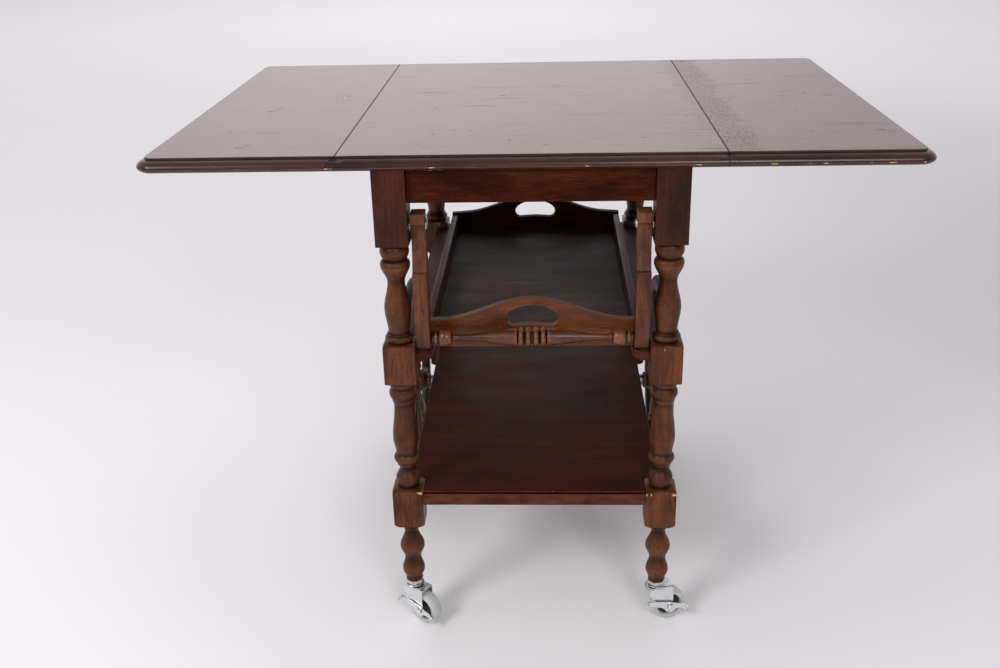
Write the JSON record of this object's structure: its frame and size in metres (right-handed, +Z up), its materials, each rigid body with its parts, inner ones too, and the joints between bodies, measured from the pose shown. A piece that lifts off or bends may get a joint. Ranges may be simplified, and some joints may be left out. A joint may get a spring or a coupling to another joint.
{
  "type": "drop leaf tea trolley",
  "caption": "Wooden serving trolley with drop leaves, turned legs, a lift-out tray, a lower shelf, a swing-down push handle, large spoked wheels and braked swivel casters.",
  "frame": {"origin": "on the floor under the centre of the whole trolley with both leaves raised", "axes": "+Z up; +X to the right across the leaves as seen from the handle end; +Y from the handle and caster end towards the large-wheel end"},
  "size_m": [0.9634, 0.6914, 0.6875],
  "materials": {
    "top_wood": "worn dark red-brown varnish, satin, finely scratched",
    "frame_wood": "dark red-brown varnish, semi-gloss, worn at the edges",
    "tray_wood": "mid red-brown varnish, worn",
    "tray_panel": "dull grey-brown worn panel",
    "hinge_metal": "dull aged brass-plated steel",
    "zinc_steel": "bright zinc plate",
    "tyre": "matt black solid rubber",
    "caster_tread": "light grey satin rubber"
  },
  "bodies": {
    "frame": {"apron_front": "frame_wood", "apron_left": "frame_wood", "apron_rear": "frame_wood", "apron_right": "frame_wood", "axle": "zinc_steel", "axle_beam": "frame_wood", "axle_cap_left": "zinc_steel", "axle_cap_right": "zinc_steel", "brace_bracket_left": "zinc_steel", "brace_bracket_right": "zinc_steel", "caster_left_stem": "zinc_steel", "caster_right_stem": "zinc_steel", "handle_bolt_left": "zinc_steel", "handle_bolt_right": "zinc_steel", "hinge_left_front_fixed_plate": "hinge_metal", "hinge_left_front_pin": "hinge_metal", "hinge_left_rear_fixed_plate": "hinge_metal", "hinge_left_rear_pin": "hinge_metal", "hinge_right_front_fixed_plate": "hinge_metal", "hinge_right_front_pin": "hinge_metal", "hinge_right_rear_fixed_plate": "hinge_metal", "hinge_right_rear_pin": "hinge_metal", "leg_front_left": "frame_wood", "leg_front_right": "frame_wood", "leg_rear_left": "frame_wood", "leg_rear_right": "frame_wood", "runner_left": "frame_wood", "runner_right": "frame_wood", "shelf": "frame_wood", "top_board": "top_wood"},
    "leaf_left": {"hinge_left_front_leaf_plate": "hinge_metal", "hinge_left_rear_leaf_plate": "hinge_metal", "leaf_left": "top_wood"},
    "leaf_right": {"hinge_right_front_leaf_plate": "hinge_metal", "hinge_right_rear_leaf_plate": "hinge_metal", "leaf_right": "top_wood"},
    "brace_left": {"brace_left": "zinc_steel"},
    "brace_right": {"brace_right": "zinc_steel"},
    "tray": {"tray_bottom": "tray_panel", "tray_end_front": "tray_wood", "tray_end_rear": "tray_wood", "tray_side_left": "tray_wood", "tray_side_right": "tray_wood"},
    "handle": {"handle_arm_left": "frame_wood", "handle_arm_right": "frame_wood", "handle_grip": "frame_wood"},
    "wheel_left": {"wheel_left_hub_and_spokes": "frame_wood", "wheel_left_rim": "frame_wood", "wheel_left_tyre": "tyre"},
    "wheel_right": {"wheel_right_hub_and_spokes": "frame_wood", "wheel_right_rim": "frame_wood", "wheel_right_tyre": "tyre"},
    "caster_left_swivel": {"caster_left_axle": "zinc_steel", "caster_left_fork": "zinc_steel"},
    "caster_right_swivel": {"caster_right_axle": "zinc_steel", "caster_right_fork": "zinc_steel"},
    "caster_left_roller": {"caster_left_wheel": "caster_tread"},
    "caster_right_roller": {"caster_right_wheel": "caster_tread"},
    "caster_left_brake": {"caster_left_brake_lever": "zinc_steel"},
    "caster_right_brake": {"caster_right_brake_lever": "zinc_steel"}
  },
  "joints": [
    {"name": "leaf_left_hinge", "type": "hinge", "parent": "frame", "child": "leaf_left", "pos_m": [-0.2355, 0, 0.672], "axis": [0, -1, 0], "range_deg": [0, 90]},
    {"name": "leaf_right_hinge", "type": "hinge", "parent": "frame", "child": "leaf_right", "pos_m": [0.2355, 0, 0.672], "axis": [0, 1, 0], "range_deg": [0, 90]},
    {"name": "brace_left_pivot", "type": "hinge", "parent": "frame", "child": "brace_left", "pos_m": [-0.2205, 0, 0.657], "axis": [0, -1, 0], "range_deg": [0, 90]},
    {"name": "brace_right_pivot", "type": "hinge", "parent": "frame", "child": "brace_right", "pos_m": [0.2205, 0, 0.657], "axis": [0, 1, 0], "range_deg": [0, 90]},
    {"name": "tray_slide", "type": "slide", "parent": "frame", "child": "tray", "axis": [0, 1, 0], "range_m": [0, 0.3]},
    {"name": "handle_swing", "type": "hinge", "parent": "frame", "child": "handle", "pos_m": [0, -0.311, 0.596], "axis": [-1, 0, 0], "range_deg": [0, 100]},
    {"name": "wheel_left_spin", "type": "hinge", "parent": "frame", "child": "wheel_left", "pos_m": [-0.21, 0.10885, 0.181], "axis": [1, 0, 0], "continuous": true},
    {"name": "wheel_right_spin", "type": "hinge", "parent": "frame", "child": "wheel_right", "pos_m": [0.21, 0.10885, 0.181], "axis": [1, 0, 0], "continuous": true},
    {"name": "caster_left_swivel_joint", "type": "hinge", "parent": "frame", "child": "caster_left_swivel", "pos_m": [-0.1725, -0.30645, 0.055], "axis": [0, 0, 1], "continuous": true},
    {"name": "caster_left_roll", "type": "hinge", "parent": "caster_left_swivel", "child": "caster_left_roller", "pos_m": [-0.15774, -0.3164, 0.0248], "axis": [0.5592, 0.829, 0], "continuous": true},
    {"name": "caster_left_brake_tilt", "type": "hinge", "parent": "caster_left_swivel", "child": "caster_left_brake", "pos_m": [-0.15774, -0.3164, 0.0248], "axis": [0.5592, 0.829, 0], "range_deg": [0, 12]},
    {"name": "caster_right_swivel_joint", "type": "hinge", "parent": "frame", "child": "caster_right_swivel", "pos_m": [0.1725, -0.30645, 0.055], "axis": [0, 0, 1], "continuous": true},
    {"name": "caster_right_roll", "type": "hinge", "parent": "caster_right_swivel", "child": "caster_right_roller", "pos_m": [0.18969, -0.30184, 0.0248], "axis": [-0.2588, 0.9659, 0], "continuous": true},
    {"name": "caster_right_brake_tilt", "type": "hinge", "parent": "caster_right_swivel", "child": "caster_right_brake", "pos_m": [0.18969, -0.30184, 0.0248], "axis": [-0.2588, 0.9659, 0], "range_deg": [0, 12]}
  ],
  "couplings": [
    {"joint": "brace_left_pivot", "follows": "leaf_left_hinge", "ratio": 1},
    {"joint": "brace_right_pivot", "follows": "leaf_right_hinge", "ratio": 1}
  ]
}
